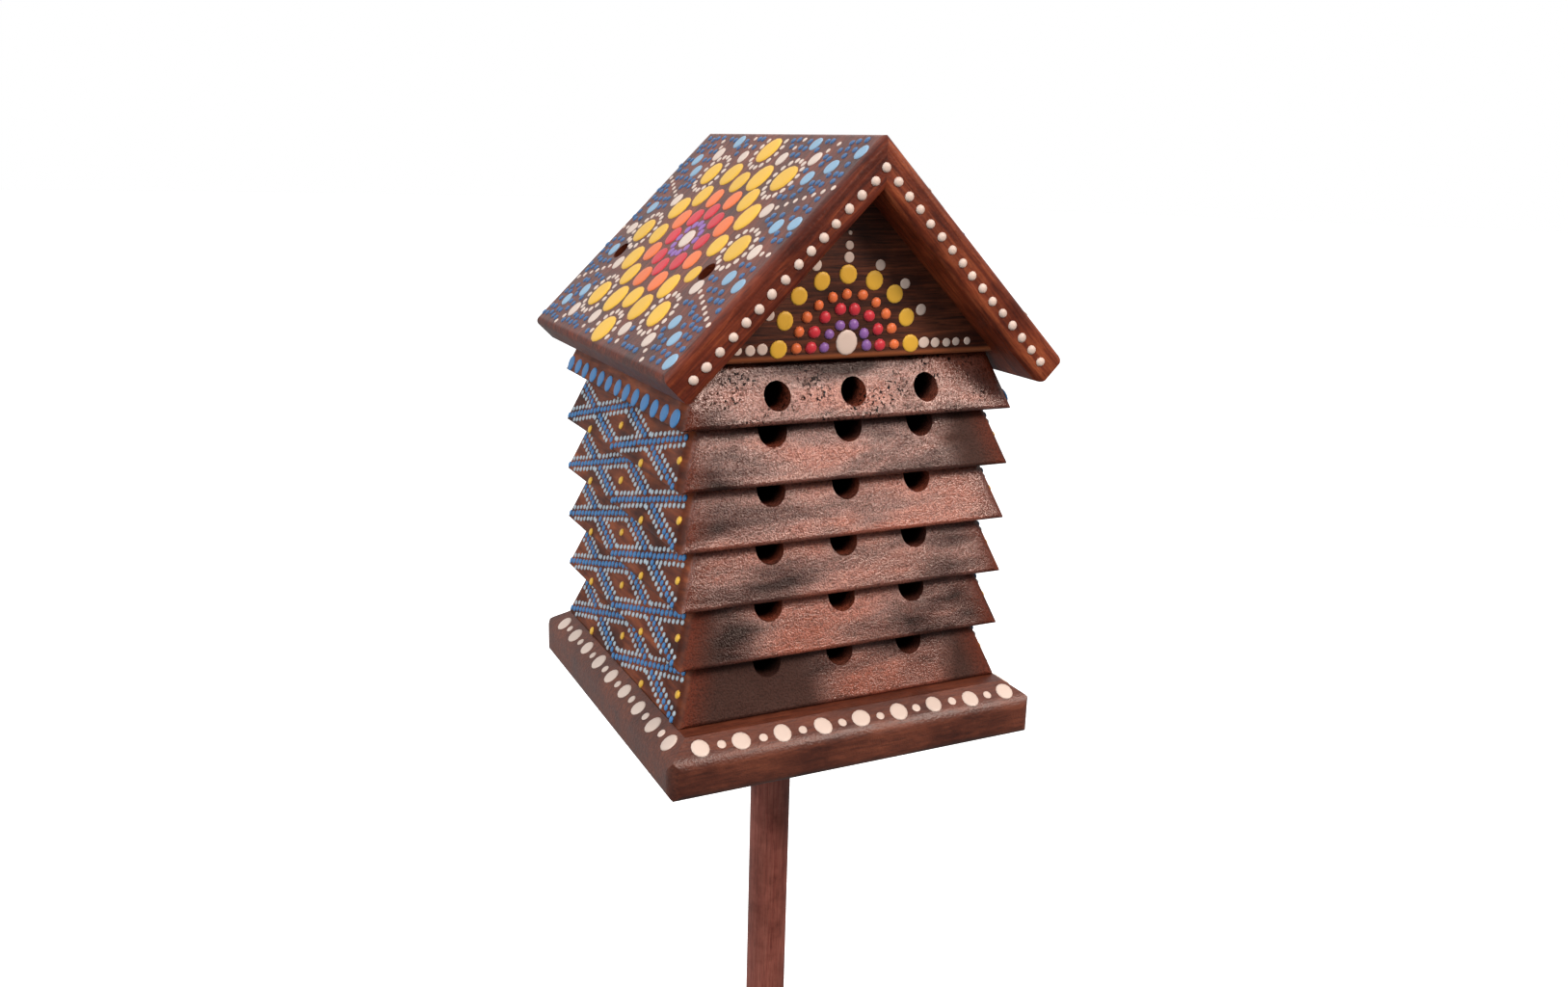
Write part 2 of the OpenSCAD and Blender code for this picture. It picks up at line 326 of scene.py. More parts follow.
@dataclass(frozen=True)
class ScorchedHardwood:
    """Carved hardwood, scorched with a flame at both ends, varnished thick over the raised fibres.

    The eye gets umber and salmon patches, black specks where the flame stayed, and a coarse frosted gloss
    on the ends; the left and right sides are smooth, warm and duller. Past a bare stretch the ends are darker
    and dull, partly soot and partly painted shade where the lamp's reflection falls off, and the holes are
    painted black as shade, a little of it also at the top of each end under the tray above.
    The frosting is drawn a little coarser than it is, so that it shows.
    """

    name: str
    look: TrayLook
    centre_y: float
    half_width: float
    half_depth: float
    shift_way: tuple[float, float, float] = (0.31, 0.17, 1.0)
    patch: tuple[float, float, float] = (46.0, 20.0, 15.0)
    smear: tuple[float, float, float] = (20.0, 5.0, 2.6)
    fibre: tuple[float, float, float] = (3.0, 18.0, 2.4)
    end_tones: tuple[str, ...] = ("#2C1915", "#5E362D", "#844B3C", "#A65740")
    end_stops: tuple[float, ...] = (0.36, 0.45, 0.53, 0.63)
    side_tones: tuple[str, ...] = ("#4E2114", "#75381F", "#9C522C")
    side_stops: tuple[float, ...] = (0.30, 0.50, 0.72)
    smear_tone: str = "#83736C"
    smear_share: float = 0.4
    side_scorch: str = "#9C8C84"
    speck_tone: str = "#150D0B"
    speck: float = 1.2
    speck_span: tuple[float, float] = (0.53, 0.60)
    cluster: tuple[float, float, float] = (15.0, 15.0, 8.0)
    cluster_span: tuple[float, float] = (0.44, 0.56)
    soot_and_shade_tone: str = "#462C25"
    bare_fade: float = 12.0
    bare_stray: float = 36.0
    edge_tone: str = "#6B2E1C"
    edge_tint: float = 13.0
    end_fade: tuple[float, float] = (-0.2, 2.5)
    pit_tone: str = "#22130F"
    pit_span: tuple[float, float] = (0.38, 0.54)
    pit_least: float = 0.48
    pebble: float = 0.62
    pebble_height: float = 0.38
    wave: float = 17.0
    wave_height: float = 1.5
    hole_shade_tone: str = "#0E0705"
    hole_shade_from: float = 7.0
    hole_shade_full: float = 12.0
    hole_shade_inset: float = 9.0
    hole_shade_fade: float = 2.0
    coat_span: tuple[float, float] = (0.38, 0.53)
    coat_least: float = 0.15
    dull_roughness: float = 0.5
    frosted_roughness: float = 0.24
    dull_gloss: float = 0.1
    side_frosting: float = 0.12
    varnish_ior: float = 1.8
    gleam: str = "#FFF0EA"

    def material(self) -> Material:
        """Builds the finish for one tray.

        Returns:
            The material, on Object coordinates. A tray's ends are where a point lies nearer to the end faces
            than to the sides: its distance from the middle along Y, less that along X, tells them apart.
        """
        material, tree, shader = new_material(self.name)
        place = add_node(tree, "TexCoord").node.outputs["Object"]
        shift = [part * self.look.shift * MM for part in self.shift_way]
        own = add_node(tree, "Mapping", {"Vector": place, "Location": shift})
        axes = add_node(tree, "SeparateXYZ", {"Vector": place}).node.outputs
        from_middle = add_node(tree, "Math", {0: axes["Y"], 1: self.centre_y * MM}, operation="SUBTRACT")
        depth = add_node(tree, "Math", {0: from_middle}, operation="ABSOLUTE")
        width = add_node(tree, "Math", {0: axes["X"]}, operation="ABSOLUTE")
        margin = add_node(tree, "Math", {0: depth, 1: width}, operation="SUBTRACT")
        corner = (self.half_depth - self.half_width) * MM
        end = add_node(tree, "MapRange",
                       {"Value": margin, "From Min": corner + self.end_fade[0] * MM,
                        "From Max": corner + self.end_fade[1] * MM}, **SMOOTH)
        inner = add_node(tree, "MapRange",
                         {"Value": margin, "From Min": corner, "From Max": corner + self.edge_tint * MM},
                         **SMOOTH)
        patches = clouds(tree, own, self.patch, Detail=3.0, Roughness=0.45, Distortion=0.3)
        pebbles = clouds(tree, own, [self.pebble] * 3, Detail=2.0, Roughness=0.55)
        pits = add_node(tree, "MapRange",
                        {"Value": pebbles, "From Min": self.pit_span[0], "From Max": self.pit_span[1],
                         "To Min": self.pit_least})
        # Partly painted shade: beyond a bare stretch the ends turn dark and lose their gloss, partly soot and
        # partly where the lamp's reflection falls off.
        soot_and_shade = self.soot_and_shade(tree, axes["X"], patches)
        specks = self.specks(tree, own)

        scorched = self.end_colour(tree, own, patches, specks)
        soot_and_shade_colour = linear(self.soot_and_shade_tone)
        darkened_ends = add_node(tree, "Mix", {"Factor": soot_and_shade, "A": scorched, "B": soot_and_shade_colour}, **BLEND)
        edged = add_node(tree, "Mix", {"Factor": inner, "A": linear(self.edge_tone), "B": darkened_ends}, **BLEND)
        pitted = add_node(tree, "Mix", {"Factor": pits, "A": linear(self.pit_tone), "B": edged}, **BLEND)
        sides = self.side_colour(tree, own, patches)
        outside = add_node(tree, "Mix", {"Factor": end, "A": sides, "B": pitted}, **BLEND)
        # Painted shade: the holes' insides, and a little of each end's top under the tray above, go towards
        # black.
        hole_shade = self.hole_shade(tree, depth, width)
        colour = add_node(tree, "Mix", {"Factor": hole_shade, "A": outside, "B": linear(self.hole_shade_tone)}, **BLEND)

        frosted = add_node(tree, "Math", {0: end, 1: soot_and_shade}, operation="SUBTRACT", use_clamp=True)
        clean = add_node(tree, "Math", {0: pits, 1: specks}, operation="SUBTRACT", use_clamp=True)
        coat = add_node(tree, "MapRange",
                        {"Value": patches, "From Min": self.coat_span[0] + self.look.char,
                         "From Max": self.coat_span[1] + self.look.char, "To Min": self.coat_least})
        coated = add_node(tree, "Math", {0: frosted, 1: coat}, operation="MULTIPLY")
        raised = add_node(tree, "Math", {0: coated, 1: clean}, operation="MULTIPLY")
        rough = add_node(tree, "MapRange",
                         {"Value": frosted, "To Min": self.dull_roughness, "To Max": self.frosted_roughness})
        gloss = add_node(tree, "MapRange",
                         {"Value": raised, "To Min": self.dull_gloss, "To Max": self.look.sheen})
        frosting = add_node(tree, "MapRange", {"Value": end, "To Min": self.side_frosting})
        waves = clouds(tree, own, [self.wave] * 3, Detail=1.0)
        waved = add_node(tree, "Bump", {"Strength": 1.0, "Distance": self.wave_height * MM, "Height": waves})
        bump = add_node(tree, "Bump", {"Strength": frosting, "Distance": self.pebble_height * MM,
                                       "Height": pebbles, "Normal": waved})
        fill(shader, {"Base Color": colour, "Roughness": rough, "Specular IOR Level": gloss, "Normal": bump,
                      "IOR": self.varnish_ior, "Specular Tint": linear(self.gleam)})
        return material

    def soot_and_shade(self, tree: Tree, across: Socket, patches: Socket) -> Socket:
        """Adds the mask of the even dark tone beside a tray's bare stretch: partly soot, partly painted shade
        where the lamp's reflection falls off.

        Args:
            tree: the node tree.
            across: the X coordinate.
            patches: the pattern that lets the dark tone's edge stray.

        Returns:
            The mask, one where the dark tone is full.
        """
        aside = add_node(tree, "Math", {0: across, 1: self.look.bare_middle * MM}, operation="SUBTRACT")
        away = add_node(tree, "Math", {0: aside}, operation="ABSOLUTE")
        strayed = add_node(tree, "Math", {0: patches, 1: self.bare_stray * MM, 2: away},
                           operation="MULTIPLY_ADD")
        start = (self.look.bare_half + self.bare_stray / 2) * MM
        return add_node(tree, "MapRange",
                        {"Value": strayed, "From Min": start, "From Max": start + self.bare_fade * MM},
                        **SMOOTH)

    def specks(self, tree: Tree, own: Socket) -> Socket:
        """Adds the mask of black specks: fine grit, where a wider pattern gathers it.

        Args:
            tree: the node tree.
            own: the tray's shifted coordinates.

        Returns:
            The mask, one where a speck is black.
        """
        grit = clouds(tree, own, [self.speck] * 3, Detail=2.0, Roughness=0.6)
        cluster = clouds(tree, own, self.cluster, Detail=2.0)
        grains = add_node(tree, "MapRange",
                          {"Value": grit, "From Min": self.speck_span[0], "From Max": self.speck_span[1]})
        gathered = add_node(tree, "MapRange",
                            {"Value": cluster, "From Min": self.cluster_span[0],
                             "From Max": self.cluster_span[1], "To Max": self.look.specks})
        return add_node(tree, "Math", {0: grains, 1: gathered}, operation="MULTIPLY")

    def end_colour(self, tree: Tree, own: Socket, patches: Socket, specks: Socket) -> Socket:
        """Adds the colour of a tray's ends: patches from char to salmon, smeared and specked.

        Args:
            tree: the node tree.
            own: the tray's shifted coordinates.
            patches: the pattern of the patches.
            specks: the mask of the specks.

        Returns:
            The colour.
        """
        stops = [(stop + self.look.char, tone) for stop, tone in zip(self.end_stops, self.end_tones)]
        ends = add_node(tree, "ValToRGB", {"Fac": patches}, stops)
        smears = clouds(tree, own, self.smear, Detail=3.0, Roughness=0.5)
        shade = add_node(tree, "ValToRGB", {"Fac": smears}, ((0.30, self.smear_tone), (0.60, WHITE)))
        toned = add_node(tree, "Mix", {"Factor": self.smear_share, "A": ends, "B": shade}, **MULTIPLY)
        return add_node(tree, "Mix", {"Factor": specks, "A": toned, "B": linear(self.speck_tone)}, **BLEND)

    def side_colour(self, tree: Tree, own: Socket, patches: Socket) -> Socket:
        """Adds the colour of a tray's left and right sides: fibres along Y, scorched a little.

        Args:
            tree: the node tree.
            own: the tray's shifted coordinates.
            patches: the pattern of the patches.

        Returns:
            The colour.
        """
        fibres = clouds(tree, own, self.fibre, Detail=5.0, Roughness=0.6)
        wood = add_node(tree, "ValToRGB", {"Fac": fibres}, tuple(zip(self.side_stops, self.side_tones)))
        scorch = add_node(tree, "ValToRGB", {"Fac": patches}, ((0.34, self.side_scorch), (0.56, WHITE)))
        return add_node(tree, "Mix", {"Factor": 1.0, "A": wood, "B": scorch}, **MULTIPLY)

    def hole_shade(self, tree: Tree, depth: Socket, width: Socket) -> Socket:
        """Adds the mask of painted shade: the holes' insides, which lie in from the ends and from the sides,
        and a little of each end's top, under the tray above.

        Args:
            tree: the node tree.
            depth: the distance from the tray's middle along Y.
            width: the distance from its middle along X.

        Returns:
            The mask, one deep inside.
        """
        deep = add_node(tree, "MapRange",
                        {"Value": depth, "From Min": (self.half_depth - self.hole_shade_from) * MM,
                         "From Max": (self.half_depth - self.hole_shade_full) * MM})
        inset = self.half_width - self.hole_shade_inset
        between = add_node(tree, "MapRange",
                           {"Value": width, "From Min": inset * MM,
                            "From Max": (inset - self.hole_shade_fade) * MM})
        return add_node(tree, "Math", {0: deep, 1: between}, operation="MULTIPLY")


class Paint(Enum):
    """The dot painter's colours, dry."""

    CREAM = "#E4CEC0"
    YELLOW = "#F3BE3C"
    ORANGE = "#F57A40"
    RED = "#DA303F"
    PURPLE = "#9566B2"
    BLUE = "#3F82BE"
    PALE_BLUE = "#B7C8D3"
    LIGHT_BLUE = "#8FB4D0"
    DEEP_BLUE = "#3E6797"


@dataclass(frozen=True)
class DabbedAcrylic:
    """Acrylic craft paint, dabbed on thick with the blunt end of a stick and left to level.

    The eye gets a clean flat colour with a soft satin gloss, each dot a shade apart from its neighbour.
    """

    paint: Paint
    ripple: float = 0.8
    ripple_height: float = 0.05
    roughness: float = 0.42
    darkest: float = 0.92
    lightest: float = 1.03
    haze: float = 0.12

    def material(self) -> Material:
        """Builds the paint.

        Returns:
            The material. The mesh's tone attribute shades each dot.
        """
        material, tree, shader = new_material(f"dabbed_acrylic_{self.paint.name.lower()}")
        place = add_node(tree, "TexCoord").node.outputs["Object"]
        tone = add_node(tree, "Attribute", attribute_name="tone").node.outputs["Fac"]
        share = add_node(tree, "MapRange", {"Value": tone, "To Min": self.darkest, "To Max": self.lightest})
        shaded = add_node(tree, "HueSaturation", {"Color": linear(self.paint.value), "Value": share})
        ripples = clouds(tree, place, [self.ripple] * 3, Detail=1.0)
        bump = add_node(tree, "Bump",
                        {"Strength": 1.0, "Distance": self.ripple_height * MM, "Height": ripples})
        fill(shader, {"Base Color": shaded, "Normal": bump, "Roughness": self.roughness,
                      "Sheen Weight": self.haze})
        return material


@dataclass(frozen=True)
class BlackedSteel:
    """Carbon steel screws, blacked in oil: almost black, with a dull brown-grey gleam."""

    dark: str = "#2A2624"
    light: str = "#4B423B"
    roughness: float = 0.45
    cloud: float = 1.5

    def material(self) -> Material:
        """Builds the finish.

        Returns:
            The material, on Object coordinates.
        """
        material, tree, shader = new_material("blacked_steel_screw")
        place = add_node(tree, "TexCoord").node.outputs["Object"]
        tarnish = clouds(tree, place, [self.cloud] * 3, Detail=3.0)
        colour = add_node(tree, "ValToRGB", {"Fac": tarnish}, ((0.35, self.dark), (0.70, self.light)))
        fill(shader, {"Base Color": colour, "Metallic": 1.0, "Roughness": self.roughness})
        return material


@dataclass(frozen=True)
class OpalTable:
    """Matt opal acrylic of a studio's light table, lit from below: an even white without gloss."""

    colour: str = WHITE
    roughness: float = 0.95
    glow: float = 0.8

    def material(self) -> Material:
        """Builds the table's finish.

        Returns:
            The material, one plain tone as the real sheet has.
        """
        material, _, shader = new_material("matt_opal_acrylic_table")
        fill(shader, {"Base Color": linear(self.colour), "Roughness": self.roughness,
                      "Emission Color": linear(self.colour), "Emission Strength": self.glow})
        return material


@dataclass(frozen=True)
class Stroke:
    """The shape of one dab of paint: how far each ring reaches and rises, from the rim to the crown."""

    sides: int
    reach: tuple[float, ...]
    rise: tuple[float, ...]
    height: float
    height_per_width: float


class Dab(Enum):
    """The three ways in which the paint is put on."""

    DISC = Stroke(14, (1.0, 0.97, 0.84, 0.5), (-0.5, 0.45, 0.92, 1.0), 0.12, 0.035)
    BEAD = Stroke(10, (1.0, 0.88, 0.52), (-0.25, 0.5, 0.9), 0.05, 0.24)
    SPECK = Stroke(8, (1.0, 0.72), (-0.35, 0.7), 0.05, 0.16)


@dataclass(frozen=True)
class Dots:
    """Dots of one paint on one face: places on the face and diameters, in millimetres."""

    paint: Paint
    places: Array
    widths: Array

    def kept(self, keep: Array) -> "Dots":
        """Gives the dots that a mask keeps."""
        return Dots(self.paint, self.places[keep], self.widths[keep])

    def for_side(self, side: Side) -> "Dots":
        """Gives the left side's dots as they lie on a side: the right one's are their mirror image."""
        return Dots(self.paint, self.places * np.array((-side.value, 1)), self.widths)

    def clear_of(self, others: Sequence["Dots"], gap: float) -> "Dots":
        """Drops the dots that come too near to those already painted.

        Args:
            others: the dots that are there.
            gap: the least bare wood between two dots, which is less than nothing where they may overlap.

        Returns:
            The dots whose centres lie further from the others' than both radii and the gap.
        """
        keep = np.ones(len(self.places), bool)
        for dots in others:
            apart = np.linalg.norm(self.places[:, None] - dots.places[None], axis=2)
            keep &= (apart - self.widths[:, None] / 2 - dots.widths[None] / 2 > gap).all(axis=1)
        return self.kept(keep)


def row(count: int, pitch: float, shift: float = 0.0, up: float = 0.0) -> Array:
    """Gives count places in a level row, centred on shift at the height up."""
    return np.stack(((np.arange(count) - (count - 1) / 2) * pitch + shift, np.full(count, up)), axis=1)


@dataclass(frozen=True)
class DotRing:
    """A ring of dots of one paint: how many, at which radius, how wide, and where the first one lies.

    That start is an angle in degrees from the right.
    """

    paint: Paint
    count: int
    radius: float
    width: float
    start: float = 0.0

    def places(self) -> Array:
        """Gives the places evenly round the ring."""
        turn = np.radians(self.start + 360 * np.arange(self.count) / self.count)
        return self.radius * np.stack((np.cos(turn), np.sin(turn)), axis=1)

    def fan(self) -> Array:
        """Gives the places on the ring's upper half alone, from its right end to its left end."""
        turn = np.linspace(0, math.pi, self.count)
        return self.radius * np.stack((np.cos(turn), np.sin(turn)), axis=1)


@dataclass(frozen=True)
class PaintedFace:
    """A flat face of the frame with its own directions: across to the right and along upwards."""

    origin: Array
    normal: Array
    across: Array

    @property
    def along(self) -> Array:
        """The face's upward direction."""
        return np.cross(self.normal, self.across)

    @classmethod
    def on_node(cls, node: str, normal: Sequence[float], across: Sequence[float],
                near: Sequence[float]) -> "PaintedFace":
        """Finds a node's face by its outward direction.

        Args:
            node: the CAD node's name.
            normal: the face's outward direction.
            across: the face's direction to the right.
            near: a point in metres, which is moved square onto the face to be its origin.

        Returns:
            The face, on the plane that touches the node furthest out along the normal.
        """
        direction = np.array(normal, float) / np.linalg.norm(normal)
        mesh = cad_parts[node].data
        points = np.empty(len(mesh.vertices) * 3)
        mesh.vertices.foreach_get("co", points)
        reach = (points.reshape(-1, 3) @ direction).max()
        start = np.array(near, float)
        return cls(start + direction * (reach - start @ direction), direction, np.array(across, float))

    def slid_to_height(self, height: float) -> "PaintedFace":
        """Moves the face's origin along its slope to a height in metres."""
        step = (height - self.origin[2]) / self.along[2]
        return replace(self, origin=self.origin + step * self.along)

    def points(self, places: Array) -> Array:
        """Gives the points in metres of places on the face."""
        return self.origin + MM * (places[:, :1] * self.across + places[:, 1:] * self.along)


@dataclass
class Painter:
    """Lays dots of paint on faces, with a steady hand's small differences, from one seed."""

    seed: int = 7
    out_of_round: float = 0.05
    width_spread: float = 0.05
    drift: float = 0.18
    full_drift_width: float = 4.0
    crown_rise: float = 1.01
    paints: dict[Paint, Material] = field(default_factory=dict)
    laid: int = 0

    def __post_init__(self) -> None:
        """Mixes the paints."""
        self.paints = {paint: DabbedAcrylic(paint).material() for paint in Paint}
        self.random = np.random.default_rng(self.seed)

    def shells(self, face: PaintedFace, dots: Dots, stroke: Stroke) -> tuple[Array, Array]:
        """Works out the dabs of one face as surfaces of two parameters.

        A point of a dab lies at turn t round it and on ring k of its stroke: the centre, plus the dab's
        radius times the ring's reach along the ellipse of t, plus the dab's height times the ring's rise
        along the face's normal. The last point is the crown.

        Args:
            face: the face that is painted.
            dots: the dots' places and diameters.
            stroke: the shape of a dab.

        Returns:
            The points, one row of rings and crown for each dab, and each dab's tone from 0 to 1.
        """
        count = len(dots.widths)
        share = np.minimum(1, dots.widths / self.full_drift_width)[:, None]
        places = dots.places + self.random.normal(0, self.drift, (count, 2)) * share
        radius = MM * dots.widths / 2 * (1 + self.width_spread * self.random.uniform(-1, 1, count))
        oval = self.out_of_round * self.random.uniform(-1, 1, count)[:, None]
        spin = self.random.uniform(0, math.pi, count)[:, None]
        height = MM * (stroke.height + stroke.height_per_width * dots.widths)
        turn = 2 * np.pi * np.arange(stroke.sides) / stroke.sides
        long_part = np.cos(turn) * (1 + oval)
        short_part = np.sin(turn) * (1 - oval)
        right = long_part * np.cos(spin) - short_part * np.sin(spin)
        up = long_part * np.sin(spin) + short_part * np.cos(spin)
        rim = right[..., None] * face.across + up[..., None] * face.along
        reach = np.array(stroke.reach)[None, :, None, None] * radius[:, None, None, None]
        lift = np.array(stroke.rise)[None, :, None, None] * height[:, None, None, None] * face.normal
        centres = face.points(places)
        rings = centres[:, None, None] + reach * rim[:, None] + lift
        crowns = centres + height[:, None] * face.normal * self.crown_rise
        shells = np.concatenate((rings.reshape(count, -1, 3), crowns[:, None]), axis=1)
        return shells, self.random.uniform(0, 1, count)

    def lay(self, name: str, paint: Paint, jobs: Sequence[tuple[PaintedFace, Dots]], dab: Dab) -> None:
        """Paints the dots of one colour as one piece.

        Args:
            name: the piece's name.
            paint: its colour.
            jobs: each face with its dots.
            dab: the way the paint is put on.
        """
        stroke = dab.value
        worked = [self.shells(face, dots, stroke) for face, dots in jobs if len(dots.widths)]
        if not worked:
            return
        shells = np.concatenate([points for points, _ in worked])
        tones = np.concatenate([tone for _, tone in worked])
        count, size = shells.shape[:2]
        sides = stroke.sides
        turns = np.arange(sides)
        first = size * np.arange(count)[:, None]
        walls = (bands(len(stroke.reach), sides) + first[..., None]).reshape(-1, 4)
        last = first + size - 1
        top = last - sides + turns
        caps = np.stack((top, np.roll(top, -1, axis=1), np.broadcast_to(last, top.shape)), axis=-1)
        soles = first + turns[::-1]
        faces = walls.tolist() + caps.reshape(-1, 3).tolist() + soles.tolist()
        piece = add_piece(name, shells, faces, self.paints[paint])
        piece.data.shade_smooth()
        tone = piece.data.attributes.new("tone", "FLOAT", "POINT")
        tone.data.foreach_set("value", np.repeat(tones, size).astype(np.float32))
        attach(piece, BODY)
        self.laid += count
        log.info("%s: %d dots", name, count)

    def lay_all(self, label: str, face: PaintedFace, dots: Sequence[Dots], usual: Dab,
                others: dict[Paint, Dab]) -> None:
        """Paints one face's dots, a piece for each colour.

        Args:
            label: the start of the pieces' names.
            face: the face.
            dots: its dots.
            usual: the usual dab.
            others: the dab of each colour that isn't put on in the usual way.
        """
        for paint in Paint:
            jobs = [(face, group) for group in dots if group.paint is paint]
            self.lay(f"{label}_{paint.name.lower()}_dots", paint, jobs, others.get(paint, usual))


@dataclass(frozen=True)
class RoofBoard:
    """What the painter has to mind on a roof board: its length, its slope and its screw holes' places."""

    length: float
    slope: float
    holes: tuple[Place, ...]


@dataclass
class RoofOrnament:
    """A rosette of sixteen rays on a roof slope, with blue dots over the rest of the board.

    Eight main rays hold red, yellow and ringed yellow dots, eight lesser rays between them orange and
    yellow ones; each ends in a petal and a row of small cream dots that runs to the board's edge.
    """

    centre_forward: float = -1.0
    centre_down: float = 53.0
    heart: DotRing = DotRing(Paint.CREAM, 1, 0.0, 8.2)
    purple: DotRing = DotRing(Paint.PURPLE, 12, 7.2, 3.4)
    red: DotRing = DotRing(Paint.RED, 8, 13.4, 8.2)
    orange: DotRing = DotRing(Paint.ORANGE, 8, 20.6, 9.5, LESSER_RAY)
    inner_yellow: DotRing = DotRing(Paint.YELLOW, 8, 28.0, 10.8)
    middle_yellow: DotRing = DotRing(Paint.YELLOW, 8, 33.2, 12.0, LESSER_RAY)
    outer_yellow: DotRing = DotRing(Paint.YELLOW, 8, 43.6, 11.8)
    halo: DotRing = DotRing(Paint.CREAM, 16, 8.6, 2.4, 360 / 16 / 2)
    halo_gap: float = -0.2
    lesser_petal: DotRing = DotRing(Paint.CREAM, 8, 43.2, 6.5, LESSER_RAY)
    main_petal: DotRing = DotRing(Paint.CREAM, 8, 57.2, 6.6)
    ray_width: float = 2.1
    ray_pitch: float = 4.4
    ray_start: float = 5.6
    ray_reach: float = 100.0
    ray_gap: float = 0.1
    light_blue: tuple[DotRing, ...] = (
        DotRing(Paint.LIGHT_BLUE, 16, 57.0, 6.3, BETWEEN_RAYS),
        DotRing(Paint.LIGHT_BLUE, 16, 67.5, 6.3, BETWEEN_RAYS),
        DotRing(Paint.LIGHT_BLUE, 16, 80.0, 6.3, BETWEEN_RAYS),
    )
    fill_width: float = 2.9
    fill_pitch: float = 4.2
    fill_stray: float = 0.8
    fill_seed: int = 11
    fill_gap: float = 0.3
    fill_from: float = 44.0
    edge_margin: float = 1.8
    edge_share: float = 0.42
    hole_room: float = 4.0
    nudge: float = 1.3
    least_share: float = 0.6

    def dots(self, board: RoofBoard) -> list[Dots]:
        """Works out the dots of one slope.

        Args:
            board: the roof board.

        Returns:
            The dots, on a face whose origin is the middle of the ridge line.
        """
        rings = [self.heart, self.purple, self.red, self.orange, self.inner_yellow, self.middle_yellow,
                 self.outer_yellow, self.lesser_petal, self.main_petal, *self.light_blue]
        painted = [self.placed(ring.paint, ring.places(), ring.width, board) for ring in rings]
        halo = self.halo
        for hub in self.outer_yellow.places():
            round_hub = self.placed(halo.paint, hub + halo.places(), halo.width, board)
            painted.append(round_hub.clear_of(painted, self.halo_gap))
        for petal in (self.lesser_petal, self.main_petal):
            steps = np.arange(petal.radius + self.ray_start, self.ray_reach, self.ray_pitch)
            places = np.concatenate([replace(petal, radius=radius).places() for radius in steps])
            rays = self.placed(petal.paint, places, self.ray_width, board)
            painted.append(rays.clear_of(painted, self.ray_gap))
        fill_dots = self.placed(Paint.DEEP_BLUE, self.fill_grid(board), self.fill_width, board)
        return painted + [fill_dots.clear_of(painted, self.fill_gap)]

    def fill_grid(self, board: RoofBoard) -> Array:
        """Works out where the small blue dots may go.

        Args:
            board: the roof board.

        Returns:
            A staggered, slightly strayed grid of places round the rosette, outside its yellow rings.
        """
        columns = np.arange(-board.length, board.length, self.fill_pitch)
        rows = np.arange(-board.slope, board.slope, self.fill_pitch * math.sqrt(0.75))
        right, up = np.meshgrid(columns, rows)
        right = right + np.where(np.arange(len(rows)) % 2, self.fill_pitch / 2, 0)[:, None]
        places = np.stack((right.ravel(), up.ravel()), axis=1)
        stray = np.random.default_rng(self.fill_seed)
        places = places + stray.uniform(-self.fill_stray, self.fill_stray, places.shape)
        return places[np.linalg.norm(places, axis=1) > self.fill_from]

    def placed(self, paint: Paint, places: Array, width: float, board: RoofBoard) -> Dots:
        """Moves places to the rosette's centre, makes way for screw holes and drops what is off the board.

        A dot that a screw hole would cut steps aside a little and shrinks to fit, as a painter would have it.

        Args:
            paint: the dots' colour.
            places: places round the rosette's centre.
            width: the dots' diameter.
            board: the roof board.

        Returns:
            The dots that stay.
        """
        moved = places + np.array((self.centre_forward, -self.centre_down))
        room = self.edge_margin + self.edge_share * width
        right, up = moved.T
        keep = (np.abs(right) < board.length / 2 - room) & (up < -room) & (up > room - board.slope)
        widths = np.full(len(moved), width)
        for hole in board.holes:
            away = moved - np.array(hole)
            apart = np.linalg.norm(away, axis=1)
            step = np.clip(self.hole_room + width / 2 - apart, 0, self.nudge)
            moved = moved + away / np.maximum(apart, 0.01)[:, None] * step[:, None]
            widths = np.minimum(widths, 2 * (apart + step - self.hole_room))
        return Dots(paint, moved, widths).kept(keep & (widths > self.least_share * width))


@dataclass
class GableOrnament:
    """Half a rosette that rises from the gable's foot, with cream dots round it."""

    centre_right: float = -3.6
    centre_up: float = 4.3
    heart: float = 8.6
    heart_up: float = 1.3
    purple: DotRing = DotRing(Paint.PURPLE, 6, 7.9, 3.8)
    red: DotRing = DotRing(Paint.RED, 8, 13.0, 4.3)
    orange: DotRing = DotRing(Paint.ORANGE, 11, 18.2, 3.9)
    yellow: DotRing = DotRing(Paint.YELLOW, 9, 24.6, 6.4)
    beads: DotRing = DotRing(Paint.CREAM, 9, 30.2, 3.9)
    row_pitch: float = 4.3
    row_widths: tuple[float, ...] = (3.5, 3.2, 2.9, 2.7)
    column_widths: tuple[float, ...] = (3.0, 1.4)
    edge_margin: float = 1.0
    edge_share: float = 0.71
    squash: float = 0.95

    def dots(self, half_width: float) -> list[Dots]:
        """Works out the dots.

        Args:
            half_width: half the gable's width at its foot, where its slopes rise at 45 degrees.

        Returns:
            The dots, on a face whose origin is the middle of the gable's foot.
        """
        centre = np.array((self.centre_right, self.centre_up))
        groups = [Dots(Paint.CREAM, centre + np.array(((0, self.heart_up),)), np.array((self.heart,)))]
        for arc in (self.purple, self.red, self.orange, self.yellow, self.beads):
            places = centre + arc.fan() * (1, self.squash)
            groups.append(Dots(arc.paint, places, np.full(arc.count, arc.width)))
        for right, up, widths in ((-1, 0, self.row_widths), (1, 0, self.row_widths),
                                  (0, self.squash, self.column_widths)):
            reach = self.beads.radius + self.row_pitch * (1 + np.arange(len(widths)))
            groups.append(Dots(Paint.CREAM, centre + reach[:, None] * (right, up), np.array(widths)))
        room = half_width - self.edge_margin
        return [g.kept(np.abs(g.places[:, 0]) + g.places[:, 1] + g.widths * self.edge_share < room)
                for g in groups]


